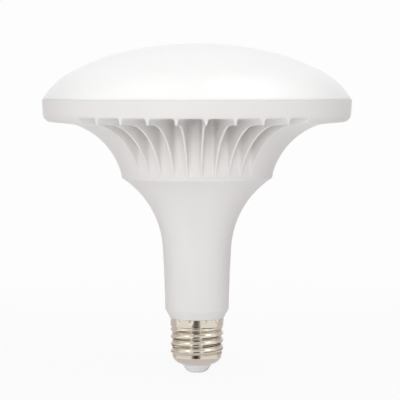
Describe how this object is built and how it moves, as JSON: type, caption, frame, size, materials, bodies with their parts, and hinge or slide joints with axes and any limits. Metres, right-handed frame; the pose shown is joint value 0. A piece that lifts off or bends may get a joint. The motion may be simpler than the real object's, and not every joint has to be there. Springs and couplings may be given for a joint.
{
  "type": "wide reflector-shaped LED lamp with a screw cap",
  "caption": "LED lamp with a wide opal dome, a ribbed white trumpet housing with open pockets and an E27 screw cap, with its light board and driver inside.",
  "frame": {"origin": "centre of the bottom contact's lower face", "axes": "+Z along the lamp's axis from the screw cap towards the opal dome; the open pockets face -Y and +Y, the plain quarters -X and +X"},
  "size_m": [0.1518, 0.1518, 0.1622],
  "materials": {
    "opal_polycarbonate": "satin opal moulding",
    "white_polymer": "satin moulded",
    "aluminium_sheet": "drawn sheet",
    "board_white": "white solder mask",
    "board_green": "green solder mask on glass epoxy",
    "phosphor": "silicone over phosphor",
    "steel_zinc": "zinc plated",
    "nickel_brass": "nickel plated brass",
    "milky_insulator": "smooth milky moulding",
    "capacitor_sleeve": "shrink sleeve",
    "film_yellow": "epoxy filled box",
    "varistor_blue": "dipped epoxy",
    "resistor_body": "lacquer",
    "chip_black": "moulded epoxy",
    "ferrite": "sintered ferrite",
    "enamel_copper": "enamelled copper wire",
    "polyester_tape": "wound tape",
    "terminal_nylon": "moulded",
    "wire_red": "silicone insulation",
    "wire_black": "silicone insulation",
    "wire_brown": "PVC insulation",
    "wire_blue": "PVC insulation"
  },
  "bodies": {
    "root": {"diffuser": "opal_polycarbonate", "housing": "white_polymer", "heat_spreader": "aluminium_sheet", "led_board": "board_white", "led_chips": "phosphor", "board_screws": "steel_zinc", "led_terminal": "terminal_nylon", "driver_board": "board_green", "bulk_capacitor": "capacitor_sleeve", "output_capacitor": "capacitor_sleeve", "film_capacitor": "film_yellow", "varistor": "varistor_blue", "fuse_resistor": "resistor_body", "bridge_rectifier": "chip_black", "driver_chip": "chip_black", "choke_core": "ferrite", "choke_winding": "enamel_copper", "transformer_core": "ferrite", "transformer_winding": "polyester_tape", "positive_lead": "wire_red", "negative_lead": "wire_black", "live_lead": "wire_brown", "neutral_lead": "wire_blue", "screw_shell": "nickel_brass", "cap_insulator": "milky_insulator", "base_contact": "nickel_brass"}
  },
  "joints": []
}
